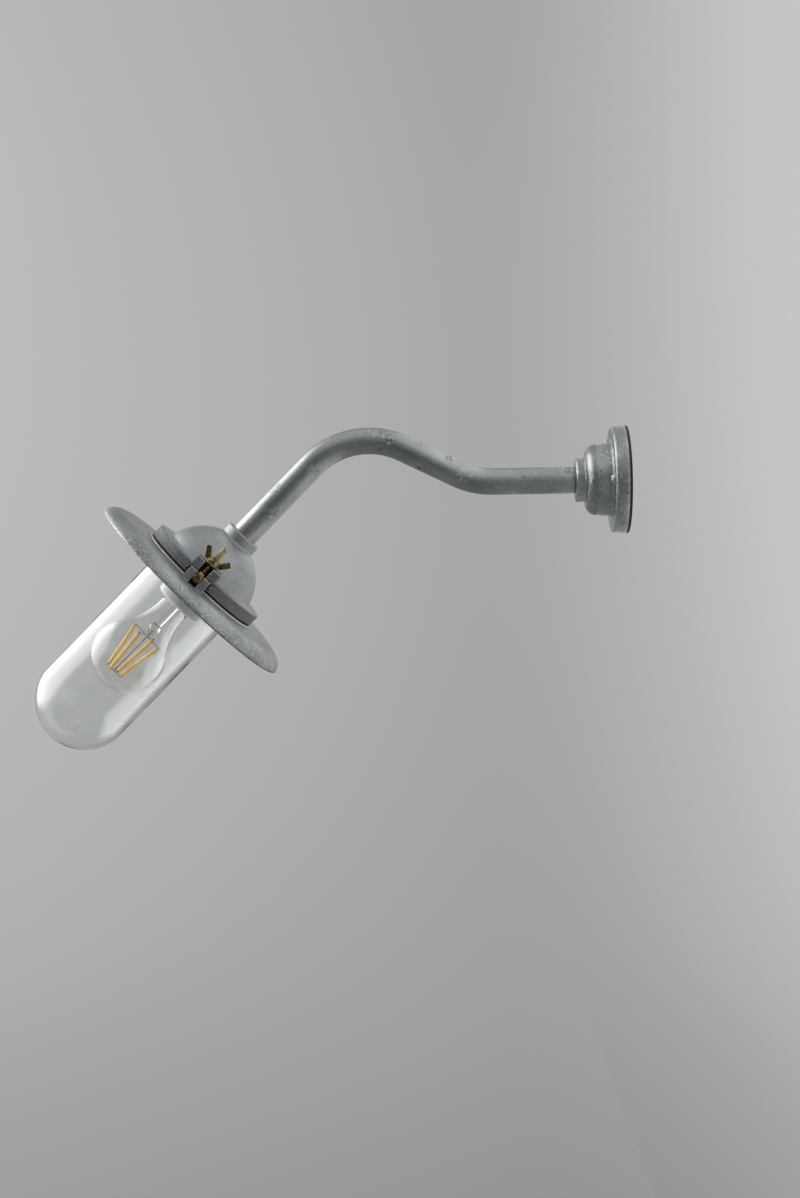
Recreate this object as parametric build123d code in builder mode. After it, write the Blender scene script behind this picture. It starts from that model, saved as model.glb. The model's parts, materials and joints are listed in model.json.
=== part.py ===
from build123d import *
import math
import os

# Outdoor swan-neck wall light, in millimetres and degrees. The wall is the plane X = 0 and the light
# stands out from it towards -X. Z is up. Heights on the wall plate are distances from the wall, and
# heights on the head run down the head's axis from the top face of its tube boss.

# Castings
cast_fillet = 1.5
cast_edge_round = 1.2

# Wall plate
wall_gasket_thickness = 2.0
plate_diameter = 86.0
plate_thickness = 10.8
plate_draft = 3.5
cup_diameter = 59.0
cup_depth = 21.0
cup_draft = 5.0
cup_corner = 9.0
cup_hollow_diameter = 46.0
cup_hollow_corner = 1.5
cup_front_wall = 4.5
plate_boss_diameter = 35.0
plate_boss_length = 7.8
fixing_pitch = 71.0
fixing_hole_diameter = 5.5

# Swan-neck tube
tube_diameter = 21.3
tube_wall = 2.6
tube_bend_radius = 64.0
first_run = 122.6
rise_angle = 26.3
rise_run = 108.2
drop_angle = 45.0
drop_run = 123.5
socket_depth = 10.0
socket_floor = 3.0
socket_clearance = 0.1

# Dome
head_boss_diameter = 30.5
dome_radius = 42.5
dome_wall = 4.0
dome_height = 48.2
flange_thickness = 8.8
fork_width = 24.0
fork_height = 8.7
fork_slot = 9.0
fork_overhang = 5.0

# Glass, its gaskets and its seat
dome_gasket_thickness = 2.0
dome_gasket_width = 14.0
glass_wall = 3.0
glass_rim_diameter = 97.0
glass_rim_width = 8.9
glass_rim_thickness = 4.0
glass_rim_round = 0.6
glass_straight = 136.8
glass_end_flattening = 3.6
glass_knuckle = 20.0
seat_gasket_thickness = 1.5
seat_clearance = 0.7
seat_ledge_thickness = 2.6
seat_wall = 3.8
seat_lip = 1.4

# Visor
visor_diameter = 188.0
visor_wall = 2.8
rim_width = 16.0
rim_drop = 11.2
rim_edge_round = 1.2

# Swing bolts, clevises, washers and wing nuts
pin_diameter = 4.5
pin_protrusion = 3.0
pin_fit = 0.03
lug_thickness = 6.2
lug_cap = 2.1
lug_overhang = 5.0
lug_round = 2.0
lug_gap = 0.5
eye_thickness = 7.0
eye_round = 2.4
eye_side_clearance = 0.2
eye_clearance = 0.35
eye_bore_clearance = 0.05
flange_to_eye = 1.0
neck_diameter = 6.6
neck_length = 10.0
shank_diameter = 5.0
bolt_reach = 31.0
bolt_tip_chamfer = 0.7
swing_clearance = 0.25
thread_clearance = 0.1
washer_diameter = 12.0
washer_thickness = 1.0
nut_seat_clearance = 0.05
nut_base_diameter = 11.0
nut_top_diameter = 9.0
nut_height = 4.2
wing_angle = 52.0
wing_length = 14.0
wing_width = 5.0
wing_thickness = 2.6
wing_tip_offset = 11.4
wing_tip_height = 9.2
wing_round = 0.8
wing_lift = 0.4

# Lampholder
bracket_height = 31.0
bracket_thickness = 2.0
bracket_length = 66.0
bracket_width = 14.0
bracket_round = 3.0
bracket_screw_pitch = 54.0
pad_diameter = 9.0
screw_diameter = 4.0
screw_head_diameter = 7.0
screw_head_height = 2.4
screw_bite = 8.0
screw_fit = 0.05
holder_diameter = 41.0
holder_length = 45.0
holder_round = 3.5
holder_hollow_depth = 31.0
holder_screw_pitch = 20.0
holder_screw_diameter = 3.0
holder_screw_head_diameter = 5.6
holder_screw_bite = 11.0
shell_wall = 0.6
shell_length = 26.0
shell_fit = 0.1
contact_diameter = 10.0
contact_thickness = 1.0
contact_stud_diameter = 6.0
contact_stud_height = 1.8

# Lamp
cap_diameter = 26.1
cap_wall = 0.5
cap_length = 23.0
cap_clearance = 0.3
lamp_seat_gap = 0.2
tip_diameter = 9.6
tip_height = 1.0
insulator_diameter = 24.0
insulator_height = 3.0
lamp_turn_gap = 0.05
envelope_diameter = 60.0
envelope_wall = 0.9
neck_fit = 0.2
neck_depth = 7.0
neck_straight = 5.0
lamp_length = 114.0
stem_diameter = 6.4
stem_length = 37.0
stem_flare_thickness = 1.2
stem_fit = 0.05
press_length = 8.0
press_thickness = 3.0
filament_count = 4
filament_diameter = 3.2
filament_turn = 68.0
filament_top_radius = 14.3
filament_bottom_radius = 7.5
filament_top_depth = 63.4
filament_drop = 36.0
wire_diameter = 0.7
wire_stand_off = 0.5
support_diameter = 1.2

# Wiring
flex_diameter = 6.4
flex_bend_radius = 8.0
flex_clearance = 0.6
terminal_width = 16.0
terminal_height = 10.0
terminal_depth = 16.0
terminal_drop = 10.0
terminal_screw_diameter = 3.6
terminal_screw_length = 9.0
terminal_screw_recess = 2.0
terminal_screw_pitch = 8.0
earth_screw_offset = 17.0
earth_screw_rise = 20.0
earth_screw_bite = 3.4

# Heights on the wall plate
plate_front = wall_gasket_thickness + plate_thickness
cup_front = plate_front + cup_depth
boss_front = cup_front + plate_boss_length
hollow_end = cup_front - cup_front_wall
plate_socket_end = boss_front - socket_depth

# Tube centre line in the plane of the arm
tube_radius = tube_diameter / 2
tube_bore_radius = tube_radius - tube_wall
rise_cos = math.cos(math.radians(rise_angle))
rise_sin = math.sin(math.radians(rise_angle))
drop_cos = math.cos(math.radians(drop_angle))
drop_sin = math.sin(math.radians(drop_angle))
first_corner = (-first_run, 0)
second_corner = (-first_run - rise_run * rise_cos, rise_run * rise_sin)


def point_on_drop(length):
    return (second_corner[0] - length * drop_cos, second_corner[1] - length * drop_sin)


head_start = point_on_drop(drop_run)

# Head frame: its origin, its axis pointing down, and the direction of the clevis pins across it
head_top = Vector(head_start[0], 0, head_start[1])
head_down = Vector(-drop_cos, 0, -drop_sin)
head_across = Vector(drop_sin, 0, -drop_cos)
head_axis = Axis(head_top, head_down)
sides = {"front": -1, "rear": 1}

# Heights and radii on the head
glass_rim_radius = glass_rim_diameter / 2
glass_radius = glass_rim_radius - glass_rim_width
seat_radius = glass_rim_radius + seat_clearance
ledge_radius = glass_radius + seat_clearance
flange_radius = seat_radius + seat_wall
flange_top = dome_height - flange_thickness
fork_top = flange_top - fork_height
gasket_bottom = dome_height + dome_gasket_thickness
brim_top = gasket_bottom + seat_lip
rim_bottom = brim_top + rim_drop
rim_start = visor_diameter / 2 - rim_width
lug_top = flange_top + lug_gap
pin_radius = pin_diameter / 2
pin_height = lug_top + lug_cap + pin_radius
eye_radius = brim_top - eye_clearance - pin_height
bolt_circle = flange_radius + flange_to_eye + eye_radius
clevis_gap = eye_thickness + 2 * eye_side_clearance
lug_inner = flange_radius + flange_to_eye
lug_outer = bolt_circle + lug_overhang
washer_bottom = fork_top - swing_clearance
nut_bottom = washer_bottom - washer_thickness - nut_seat_clearance
glass_rim_bottom = gasket_bottom + glass_rim_thickness
seat_floor_height = glass_rim_bottom + seat_gasket_thickness
seat_ledge_bottom = seat_floor_height + seat_ledge_thickness
glass_straight_end = gasket_bottom + glass_straight

# Heights and radii of the lampholder and the lamp
bracket_bottom = bracket_height + bracket_thickness
holder_bottom = bracket_bottom + holder_length
holder_floor = holder_bottom - holder_hollow_depth
cap_radius = cap_diameter / 2
shell_inner = cap_radius + cap_clearance
shell_outer = shell_inner + shell_wall
holder_bore = shell_outer + shell_fit
contact_end = holder_floor + contact_thickness + contact_stud_height
lamp_start = contact_end + lamp_seat_gap
insulator_start = lamp_start + tip_height
cap_start = insulator_start + insulator_height + lamp_turn_gap
cap_end = cap_start + cap_length
neck_radius = cap_radius - cap_wall - neck_fit
neck_start = cap_end - neck_depth
flare_start = cap_end + neck_straight
envelope_radius = envelope_diameter / 2
lamp_end = lamp_start + lamp_length
bulb_centre = lamp_end - envelope_radius
bulb_rise = bulb_centre - flare_start
flare_radius = (bulb_rise**2 / (envelope_radius - neck_radius) - envelope_radius - neck_radius) / 2
stem_end = neck_start + stem_length
filament_top = lamp_start + filament_top_depth
filament_bottom = filament_top + filament_drop


def wall_plane(height):
    return Plane(origin=(-height, 0, 0), x_dir=(0, -1, 0), z_dir=(-1, 0, 0))


def head_point(height, radius=0.0, turn=0.0):
    outward = Vector(0, -math.cos(math.radians(turn)), 0)
    sideways = head_across * math.sin(math.radians(turn))
    return head_top + head_down * height + (outward + sideways) * radius


def head_plane(height):
    return Plane(origin=head_point(height), x_dir=(0, -1, 0), z_dir=head_down)


def side_plane(side):
    return Plane(origin=head_top, x_dir=(0, side, 0), z_dir=head_across * -side)


def bolt_plane(height, side):
    origin = head_point(height) + Vector(0, side, 0) * bolt_circle
    return Plane(origin=origin, x_dir=(0, side, 0), z_dir=-head_down)


def ring_section(inner, outer, start, end, mode=Mode.ADD):
    with Locations(((inner + outer) / 2, (start + end) / 2)):
        Rectangle(outer - inner, end - start, mode=mode)


def bulb_section(inset):
    centre = (0, bulb_centre)
    flare_centre = Vector(neck_radius + flare_radius, flare_start)
    to_flare = (flare_centre - Vector(*centre)).normalized()
    ball_radius = envelope_radius - inset
    blend = Vector(*centre) + to_flare * ball_radius
    blend_angle = math.degrees(math.atan2(to_flare.Y, to_flare.X))
    flare_inset = flare_radius + inset
    neck_inset = neck_radius - inset
    Line((0, neck_start), (neck_inset, neck_start))
    Line((neck_inset, neck_start), (neck_inset, flare_start))
    RadiusArc((neck_inset, flare_start), blend, flare_inset)
    CenterArc(centre, ball_radius, blend_angle, 90 - blend_angle)
    Line((0, bulb_centre + ball_radius), (0, neck_start))


def save(builder, name):
    builder.part.label = name
    export_step(builder.part, f"parts/{name}.step")


os.makedirs("parts", exist_ok=True)
head_section = side_plane(-1)
wall_section = Plane(origin=(0, 0, 0), x_dir=(-1, 0, 0), z_dir=(0, 1, 0))
fixing_places = [(-fixing_pitch / 2, 0), (fixing_pitch / 2, 0)]

# Rubber ring between the wall plate and the wall
with BuildPart() as wall_gasket:
    with BuildSketch(wall_plane(0)):
        Circle(plate_diameter / 2)
        Circle(cup_hollow_diameter / 2, mode=Mode.SUBTRACT)
        with Locations(*fixing_places):
            Circle(fixing_hole_diameter / 2, mode=Mode.SUBTRACT)
    extrude(amount=wall_gasket_thickness)
save(wall_gasket, "wall_gasket")

# Cast wall plate: drafted flange, round-shouldered cup and tube boss, hollow from the back
plate_radius = plate_diameter / 2
plate_front_radius = plate_radius - plate_thickness * math.tan(math.radians(plate_draft))
cup_radius = cup_diameter / 2
cup_front_radius = cup_radius - cup_depth * math.tan(math.radians(cup_draft))
hollow_radius = cup_hollow_diameter / 2
earth_angle = math.radians(earth_screw_rise)
earth_place = (earth_screw_offset * math.cos(earth_angle), earth_screw_offset * math.sin(earth_angle))
with BuildPart() as wall_plate:
    with BuildSketch(wall_section):
        with BuildLine():
            FilletPolyline(
                (wall_gasket_thickness, 0),
                (wall_gasket_thickness, plate_radius),
                (plate_front, plate_front_radius),
                (plate_front, cup_radius),
                (cup_front, cup_front_radius),
                (cup_front, plate_boss_diameter / 2),
                (boss_front, plate_boss_diameter / 2),
                (boss_front, 0),
                radius=[0, 0, cast_edge_round, cast_fillet, cup_corner, 0, cast_edge_round, 0],
                close=True,
            )
        make_face()
    revolve(axis=Axis.X)
    with BuildSketch(wall_section):
        with BuildLine():
            FilletPolyline(
                (wall_gasket_thickness, 0),
                (wall_gasket_thickness, hollow_radius),
                (hollow_end, hollow_radius),
                (hollow_end, 0),
                radius=[0, 0, cup_hollow_corner, 0],
                close=True,
            )
        make_face()
    revolve(axis=Axis.X, mode=Mode.SUBTRACT)
    with BuildSketch(wall_plane(plate_socket_end)):
        Circle(tube_radius + socket_clearance)
    extrude(amount=socket_depth, mode=Mode.SUBTRACT)
    with BuildSketch(wall_plane(hollow_end)):
        Circle(tube_bore_radius)
    extrude(amount=plate_socket_end - hollow_end, mode=Mode.SUBTRACT)
    with BuildSketch(wall_plane(hollow_end)):
        with Locations(earth_place):
            Circle(screw_diameter / 2 + screw_fit)
    extrude(amount=earth_screw_bite, mode=Mode.SUBTRACT)
    with BuildSketch(wall_plane(wall_gasket_thickness)):
        with Locations(*fixing_places):
            Circle(fixing_hole_diameter / 2)
    extrude(amount=plate_thickness, mode=Mode.SUBTRACT)
save(wall_plate, "wall_plate")

# Bent steel tube from the wall plate's socket to the dome's socket
with BuildPart() as swan_neck_tube:
    with BuildLine(Plane.XZ):
        FilletPolyline(
            (-plate_socket_end, 0),
            first_corner,
            second_corner,
            point_on_drop(drop_run + socket_depth),
            radius=tube_bend_radius,
        )
    with BuildSketch(wall_plane(plate_socket_end)):
        Circle(tube_radius)
        Circle(tube_bore_radius, mode=Mode.SUBTRACT)
    sweep()
save(swan_neck_tube, "swan_neck_tube")

# Hollow of the dome, leaving the tube socket's floor and two pads for the bracket
socket_bottom = socket_depth + socket_floor
pad_places = [(-bracket_screw_pitch / 2, 0), (bracket_screw_pitch / 2, 0)]
with BuildPart() as dome_hollow:
    with BuildSketch(head_section):
        with Locations((0, dome_height)):
            Circle(dome_radius - dome_wall)
        ring_section(0, dome_radius, socket_bottom, dome_height, mode=Mode.INTERSECT)
    revolve(axis=head_axis)
    with BuildSketch(head_plane(0)):
        with Locations(*pad_places):
            Circle(pad_diameter / 2)
    extrude(amount=bracket_height, mode=Mode.SUBTRACT)
    with BuildSketch(head_plane(bracket_height - screw_bite)):
        with Locations(*pad_places):
            Circle(screw_diameter / 2 + screw_fit)
    extrude(amount=screw_bite)

# Cast dome with its tube boss, flange and two fork lugs
boss_join = dome_height - math.sqrt(dome_radius**2 - (head_boss_diameter / 2) ** 2)
flange_join = math.sqrt(dome_radius**2 - flange_thickness**2)
fork_relief = pin_height - fork_top + swing_clearance / 2
eye_reach = math.sqrt(eye_radius**2 - (pin_height - flange_top) ** 2)
slot_end_bulge = math.sqrt((fork_slot / 2) ** 2 - (eye_thickness / 2) ** 2)
slot_setback = eye_reach - slot_end_bulge + eye_clearance
with BuildPart() as dome:
    with BuildSketch(head_section) as dome_outline:
        with Locations((0, dome_height)):
            Circle(dome_radius)
        ring_section(0, head_boss_diameter / 2, 0, dome_height)
        ring_section(0, flange_radius, flange_top, dome_height)
        ring_section(0, flange_radius, 0, dome_height, mode=Mode.INTERSECT)
        for join in ((head_boss_diameter / 2, boss_join), (flange_join, flange_top)):
            fillet(dome_outline.vertices().sort_by_distance(join)[0], radius=cast_fillet)
        for edge in ((head_boss_diameter / 2, 0), (flange_radius, flange_top)):
            fillet(dome_outline.vertices().sort_by_distance(edge)[0], radius=cast_edge_round)
    revolve(axis=head_axis)
    for side in sides.values():
        with BuildSketch(side_plane(side)):
            ring_section(0, bolt_circle, fork_top, flange_top)
            with Locations((bolt_circle, pin_height)):
                Circle(fork_relief)
            ring_section(0, bolt_circle + fork_overhang, fork_top, flange_top, mode=Mode.INTERSECT)
        extrude(amount=fork_width / 2, both=True)
        with BuildSketch(bolt_plane(flange_top, side)):
            with Locations((-slot_setback, 0)):
                Circle(fork_slot / 2)
            ring_section(-slot_setback, fork_width, -fork_slot / 2, fork_slot / 2)
        extrude(amount=fork_height, mode=Mode.SUBTRACT)
    add(dome_hollow.part, mode=Mode.SUBTRACT)
    with BuildSketch(head_plane(0)):
        Circle(tube_radius + socket_clearance)
    extrude(amount=socket_depth, mode=Mode.SUBTRACT)
    with BuildSketch(head_plane(socket_depth)):
        Circle(tube_bore_radius)
    extrude(amount=socket_floor, mode=Mode.SUBTRACT)
save(dome, "dome")

# Gasket under the dome's flange and gasket under the glass's rim
with BuildPart() as dome_gasket:
    with BuildSketch(head_plane(dome_height)):
        Circle(flange_radius)
        Circle(flange_radius - dome_gasket_width, mode=Mode.SUBTRACT)
    extrude(amount=dome_gasket_thickness)
save(dome_gasket, "dome_gasket")

with BuildPart() as glass_seat_gasket:
    with BuildSketch(head_plane(glass_rim_bottom)):
        Circle(glass_rim_radius)
        Circle(ledge_radius, mode=Mode.SUBTRACT)
    extrude(amount=seat_gasket_thickness)
save(glass_seat_gasket, "glass_seat_gasket")

# Visor: stepped glass seat, flat brim, rim rolled down, and two pairs of clevis lugs
with BuildPart() as visor:
    with BuildSketch(head_section) as visor_outline:
        with Locations((rim_start, rim_bottom)):
            Ellipse(rim_width, rim_drop)
            Ellipse(rim_width - visor_wall, rim_drop - visor_wall, mode=Mode.SUBTRACT)
        ring_section(rim_start, visor_diameter / 2, brim_top, rim_bottom, mode=Mode.INTERSECT)
        for edge in (0, visor_wall):
            corner = (visor_diameter / 2 - edge, rim_bottom)
            fillet(visor_outline.vertices().sort_by_distance(corner)[0], radius=rim_edge_round)
        ring_section(seat_radius, rim_start, brim_top, brim_top + visor_wall)
        ring_section(seat_radius, flange_radius, gasket_bottom, seat_ledge_bottom)
        ring_section(ledge_radius, flange_radius, seat_floor_height, seat_ledge_bottom)
    revolve(axis=head_axis)
    lug_places = [head_across * offset for offset in (
        -(clevis_gap + lug_thickness) / 2,
        (clevis_gap + lug_thickness) / 2,
    )]
    for side in sides.values():
        for place in lug_places:
            lug_plane = Plane(origin=head_top + place, x_dir=(0, side, 0), z_dir=head_across * -side)
            with BuildSketch(lug_plane):
                with BuildLine():
                    FilletPolyline(
                        (lug_inner, brim_top + visor_wall / 2),
                        (lug_inner, lug_top),
                        (lug_outer, lug_top),
                        (lug_outer, brim_top + visor_wall / 2),
                        radius=[0, lug_round, lug_round, 0],
                        close=True,
                    )
                make_face()
                with Locations((bolt_circle, pin_height)):
                    Circle(pin_radius + pin_fit, mode=Mode.SUBTRACT)
            extrude(amount=lug_thickness / 2, both=True)
save(visor, "visor")

# Well glass: rim flange, straight body and domed end
glass_inner = glass_radius - glass_wall
glass_end_depth = glass_radius - glass_end_flattening
glass_knuckle_centre = glass_radius - glass_knuckle
crown_rise = glass_end_depth - glass_knuckle
crown_offset = (crown_rise**2 - glass_knuckle_centre**2) / (2 * crown_rise)
crown_radius = glass_end_depth - crown_offset
crown_angle = math.degrees(math.atan2(-crown_offset, glass_knuckle_centre))
knuckle_point = (glass_knuckle_centre, glass_straight_end)
crown_point = (0, glass_straight_end + crown_offset)
glass_bottom = glass_straight_end + glass_end_depth
with BuildPart() as well_glass:
    with BuildSketch(head_section):
        with BuildLine():
            FilletPolyline(
                (glass_inner, glass_straight_end),
                (glass_inner, gasket_bottom),
                (glass_rim_radius, gasket_bottom),
                (glass_rim_radius, glass_rim_bottom),
                (glass_radius, glass_rim_bottom),
                (glass_radius, glass_straight_end),
                radius=[glass_rim_round, glass_rim_round, glass_rim_round, 0],
            )
            for inset in (0, glass_wall):
                CenterArc(knuckle_point, glass_knuckle - inset, 0, crown_angle)
                CenterArc(crown_point, crown_radius - inset, crown_angle, 90 - crown_angle)
            Line((0, glass_bottom), (0, glass_bottom - glass_wall))
        make_face()
    revolve(axis=head_axis)
save(well_glass, "well_glass")

# Swing bolts with their pins, washers and wing nuts
wing_cos = math.cos(math.radians(wing_angle))
wing_sin = math.sin(math.radians(wing_angle))
wing_middle = (wing_tip_offset - wing_cos * wing_length / 2, wing_tip_height - wing_sin * wing_length / 2)
for place, side in sides.items():
    bolt_point = head_point(pin_height) + Vector(0, side, 0) * bolt_circle
    pin_plane = Plane(origin=bolt_point, x_dir=(0, side, 0), z_dir=head_across)

    with BuildPart() as clevis_pin:
        with BuildSketch(pin_plane):
            Circle(pin_radius)
        extrude(amount=clevis_gap / 2 + lug_thickness + pin_protrusion, both=True)
    save(clevis_pin, f"{place}_clevis_pin")

    with BuildPart() as swing_bolt:
        with BuildSketch(pin_plane):
            Circle(eye_radius)
        extrude(amount=eye_thickness / 2, both=True)
        fillet(swing_bolt.edges().filter_by(GeomType.CIRCLE), radius=eye_round)
        with BuildSketch(bolt_plane(pin_height, side)):
            Circle(neck_diameter / 2)
        with BuildSketch(bolt_plane(pin_height - neck_length, side)):
            Circle(shank_diameter / 2)
        loft()
        with BuildSketch(bolt_plane(pin_height - neck_length, side)):
            Circle(shank_diameter / 2)
        extrude(amount=bolt_reach - neck_length)
        chamfer(swing_bolt.edges().filter_by(GeomType.CIRCLE).sort_by(Axis.Z)[-1], bolt_tip_chamfer)
        with BuildSketch(pin_plane):
            Circle(pin_radius + eye_bore_clearance)
        extrude(amount=eye_thickness, both=True, mode=Mode.SUBTRACT)
    save(swing_bolt, f"{place}_swing_bolt")

    with BuildPart() as washer:
        with BuildSketch(bolt_plane(washer_bottom, side)):
            Circle(washer_diameter / 2)
            Circle(shank_diameter / 2 + thread_clearance, mode=Mode.SUBTRACT)
        extrude(amount=washer_thickness)
    save(washer, f"{place}_washer")

    wing_plane = Plane(
        origin=bolt_plane(nut_bottom, side).origin,
        x_dir=head_across * -side,
        z_dir=(0, side, 0),
    )
    with BuildPart() as wing_nut:
        with BuildSketch(bolt_plane(nut_bottom, side)):
            Circle(nut_base_diameter / 2)
        with BuildSketch(bolt_plane(nut_bottom - nut_height, side)):
            Circle(nut_top_diameter / 2)
        loft()
        with BuildSketch(wing_plane):
            with Locations(Location(wing_middle, wing_angle)):
                RectangleRounded(wing_length, wing_width, wing_round)
            ring_section(0, wing_tip_offset + wing_width, wing_lift, wing_tip_height + wing_width,
                         mode=Mode.INTERSECT)
            mirror(about=Plane.YZ)
        extrude(amount=wing_thickness / 2, both=True)
        with BuildSketch(bolt_plane(nut_bottom, side)):
            Circle(shank_diameter / 2 + thread_clearance)
        extrude(amount=bolt_reach, mode=Mode.SUBTRACT)
    save(wing_nut, f"{place}_wing_nut")

# Steel strip across the dome that carries the lampholder
holder_screw_places = [(-holder_screw_pitch / 2, 0), (holder_screw_pitch / 2, 0)]
with BuildPart() as lampholder_bracket:
    with BuildSketch(head_plane(bracket_height)):
        RectangleRounded(bracket_length, bracket_width, bracket_round)
        Circle(flex_diameter / 2 + flex_clearance, mode=Mode.SUBTRACT)
        with Locations(*pad_places):
            Circle(screw_diameter / 2 + screw_fit, mode=Mode.SUBTRACT)
        with Locations(*holder_screw_places):
            Circle(holder_screw_diameter / 2 + screw_fit, mode=Mode.SUBTRACT)
    extrude(amount=bracket_thickness)
save(lampholder_bracket, "lampholder_bracket")

# Screws of the strip in the dome's pads
with BuildPart() as bracket_screws:
    with BuildSketch(head_plane(bracket_bottom - screw_bite)):
        with Locations(*pad_places):
            Circle(screw_diameter / 2)
    extrude(amount=screw_bite)
    with BuildSketch(head_plane(bracket_bottom)):
        with Locations(*pad_places):
            Circle(screw_head_diameter / 2)
    extrude(amount=screw_head_height)
save(bracket_screws, "bracket_screws")

# Screws of the lampholder on the strip
with BuildPart() as holder_screws:
    with BuildSketch(head_plane(bracket_height - screw_head_height)):
        with Locations(*holder_screw_places):
            Circle(holder_screw_head_diameter / 2)
    extrude(amount=screw_head_height)
    with BuildSketch(head_plane(bracket_height)):
        with Locations(*holder_screw_places):
            Circle(holder_screw_diameter / 2)
    extrude(amount=bracket_thickness + holder_screw_bite)
save(holder_screws, "holder_screws")

# Porcelain body of the lampholder
with BuildPart() as lampholder_body:
    with BuildSketch(head_section):
        with BuildLine():
            FilletPolyline(
                (0, bracket_bottom),
                (holder_diameter / 2, bracket_bottom),
                (holder_diameter / 2, holder_bottom),
                (holder_bore, holder_bottom),
                (holder_bore, holder_floor),
                (0, holder_floor),
                radius=[0, holder_round, holder_round, 0, 0, 0],
                close=True,
            )
        make_face()
    revolve(axis=head_axis)
    with BuildSketch(head_plane(bracket_bottom)):
        with Locations(*holder_screw_places):
            Circle(holder_screw_diameter / 2 + screw_fit)
    extrude(amount=holder_screw_bite, mode=Mode.SUBTRACT)
save(lampholder_body, "lampholder_body")

# Brass shell and centre contact in the lampholder
with BuildPart() as screw_shell:
    with BuildSketch(head_plane(holder_floor)):
        Circle(shell_outer)
        Circle(shell_inner, mode=Mode.SUBTRACT)
    extrude(amount=shell_length)
save(screw_shell, "screw_shell")

with BuildPart() as centre_contact:
    with BuildSketch(head_plane(holder_floor)):
        Circle(contact_diameter / 2)
    extrude(amount=contact_thickness)
    with BuildSketch(head_plane(holder_floor + contact_thickness)):
        Circle(contact_stud_diameter / 2)
    extrude(amount=contact_stud_height)
save(centre_contact, "centre_contact")

# Lamp: end contact on its insulator, screw cap, envelope, stem, filaments and wires
with BuildPart() as lamp_contact:
    with BuildSketch(head_plane(lamp_start)):
        Circle(tip_diameter / 2)
    extrude(amount=tip_height)
    with BuildSketch(head_plane(insulator_start)):
        Circle(tip_diameter / 2)
    with BuildSketch(head_plane(insulator_start + insulator_height)):
        Circle(insulator_diameter / 2)
    loft()
save(lamp_contact, "lamp_contact")

with BuildPart() as lamp_cap:
    with BuildSketch(head_plane(cap_start)):
        Circle(cap_radius)
    extrude(amount=cap_length)
    with BuildSketch(head_plane(cap_start + cap_wall)):
        Circle(cap_radius - cap_wall)
    extrude(amount=cap_length - cap_wall, mode=Mode.SUBTRACT)
save(lamp_cap, "lamp_cap")

with BuildPart() as lamp_envelope:
    with BuildSketch(head_section):
        with BuildLine():
            bulb_section(0)
        make_face()
    revolve(axis=head_axis)
    with BuildSketch(head_section):
        with BuildLine():
            bulb_section(envelope_wall)
        make_face()
    revolve(axis=head_axis, mode=Mode.SUBTRACT)
save(lamp_envelope, "lamp_envelope")

with BuildPart() as lamp_stem:
    with BuildSketch(head_plane(neck_start)):
        Circle(neck_radius - envelope_wall - stem_fit)
    extrude(amount=stem_flare_thickness)
    with BuildSketch(head_plane(neck_start)):
        Circle(stem_diameter / 2)
    extrude(amount=stem_length - press_length)
    with BuildSketch(head_plane(stem_end - press_length)):
        Circle(stem_diameter / 2)
    with BuildSketch(head_plane(stem_end)):
        RectangleRounded(stem_diameter, press_thickness, press_thickness / 3)
    loft()
save(lamp_stem, "lamp_stem")

filament_turns = [filament_turn + 360 / filament_count * index for index in range(filament_count)]
filament_tops = [head_point(filament_top, filament_top_radius, turn) for turn in filament_turns]
filament_ends = [head_point(filament_bottom, filament_bottom_radius, turn) for turn in filament_turns]
with BuildPart() as lamp_filaments:
    for top, end in zip(filament_tops, filament_ends):
        with BuildSketch(Plane(origin=top, z_dir=end - top)):
            Circle(filament_diameter / 2)
        extrude(amount=(end - top).length)
save(lamp_filaments, "lamp_filaments")

# Support rod from the stem, lead wires to the filaments' tops and links between their ends
wire_clear = wire_diameter / 2 + wire_stand_off
tops = [top + (top - end).normalized() * wire_clear for top, end in zip(filament_tops, filament_ends)]
ends = [end + (end - top).normalized() * wire_clear for top, end in zip(filament_tops, filament_ends)]
hub_top = head_point(filament_top - wire_clear)
hub_end = head_point(filament_bottom + wire_clear)
wire_runs = [(hub_top, top) for top in tops] + [(hub_end, end) for end in ends]
with BuildPart() as lamp_wires:
    with BuildSketch(head_plane(stem_end)):
        Circle(support_diameter / 2)
    extrude(amount=filament_bottom + wire_clear + wire_diameter - stem_end)
    for start, end in wire_runs:
        with BuildSketch(Plane(origin=start, z_dir=end - start)):
            Circle(wire_diameter / 2)
        extrude(amount=(end - start).length)
save(lamp_wires, "lamp_wires")

# Terminal block in the wall plate's cup, its clamping screws and the earth screw
terminal_front = hollow_end - terminal_depth
terminal_places = [
    (-terminal_screw_pitch / 2, -terminal_drop - terminal_height / 2),
    (terminal_screw_pitch / 2, -terminal_drop - terminal_height / 2),
]
with BuildPart() as terminal_block:
    with BuildSketch(wall_plane(terminal_front)):
        with Locations((0, -terminal_drop - terminal_height / 2)):
            Rectangle(terminal_width, terminal_height)
    extrude(amount=terminal_depth)
    with BuildSketch(wall_plane(terminal_front)):
        with Locations(*terminal_places):
            Circle(terminal_screw_diameter / 2 + screw_fit)
    extrude(amount=terminal_screw_recess + terminal_screw_length, mode=Mode.SUBTRACT)
save(terminal_block, "terminal_block")

with BuildPart() as terminal_screws:
    with BuildSketch(wall_plane(terminal_front + terminal_screw_recess)):
        with Locations(*terminal_places):
            Circle(terminal_screw_diameter / 2)
    extrude(amount=terminal_screw_length)
save(terminal_screws, "terminal_screws")

with BuildPart() as earth_screw:
    with BuildSketch(wall_plane(hollow_end)):
        with Locations(earth_place):
            Circle(screw_diameter / 2)
    extrude(amount=earth_screw_bite)
    with BuildSketch(wall_plane(hollow_end - screw_head_height)):
        with Locations(earth_place):
            Circle(screw_head_diameter / 2)
    extrude(amount=screw_head_height)
save(earth_screw, "earth_screw")

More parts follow.
